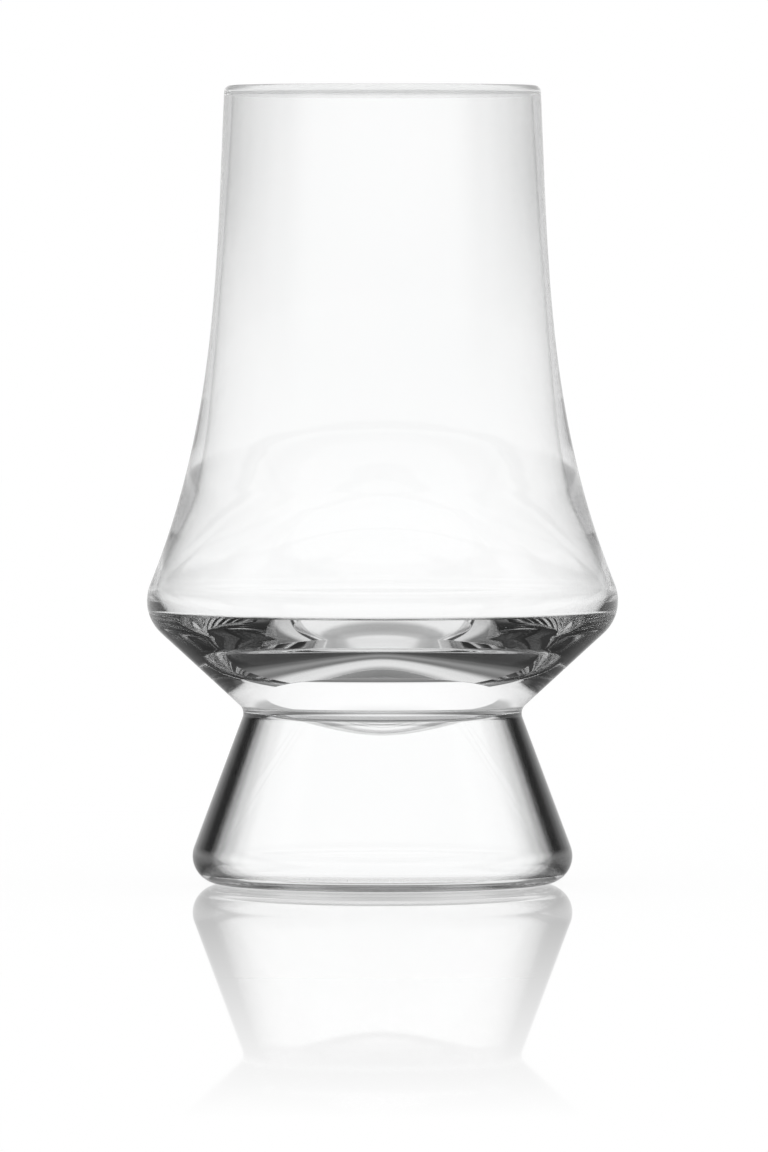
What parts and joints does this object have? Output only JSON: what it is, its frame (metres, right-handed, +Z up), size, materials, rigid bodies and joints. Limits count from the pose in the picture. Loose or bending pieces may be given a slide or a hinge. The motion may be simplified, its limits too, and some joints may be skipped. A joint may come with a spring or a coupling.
{
  "type": "whisky glass",
  "caption": "Clear footed whisky glass: a low wide bowl with a tall tapering chimney, drawn in to a waist above a hollow conical foot.",
  "frame": {"origin": "on the glass's axis, in the plane of the foot's flat base", "axes": "+Z up along the axis towards the rim; the glass is round about Z, so X and Y are free"},
  "size_m": [0.0708, 0.0708, 0.12],
  "materials": {
    "bowl_glass": "clear colourless blown glass, fire polished, slightly uneven where it was blown",
    "foot_glass": "clear colourless blown glass, fire polished, thin walled"
  },
  "bodies": {
    "root": {"bowl": "bowl_glass", "foot": "foot_glass"}
  },
  "joints": []
}
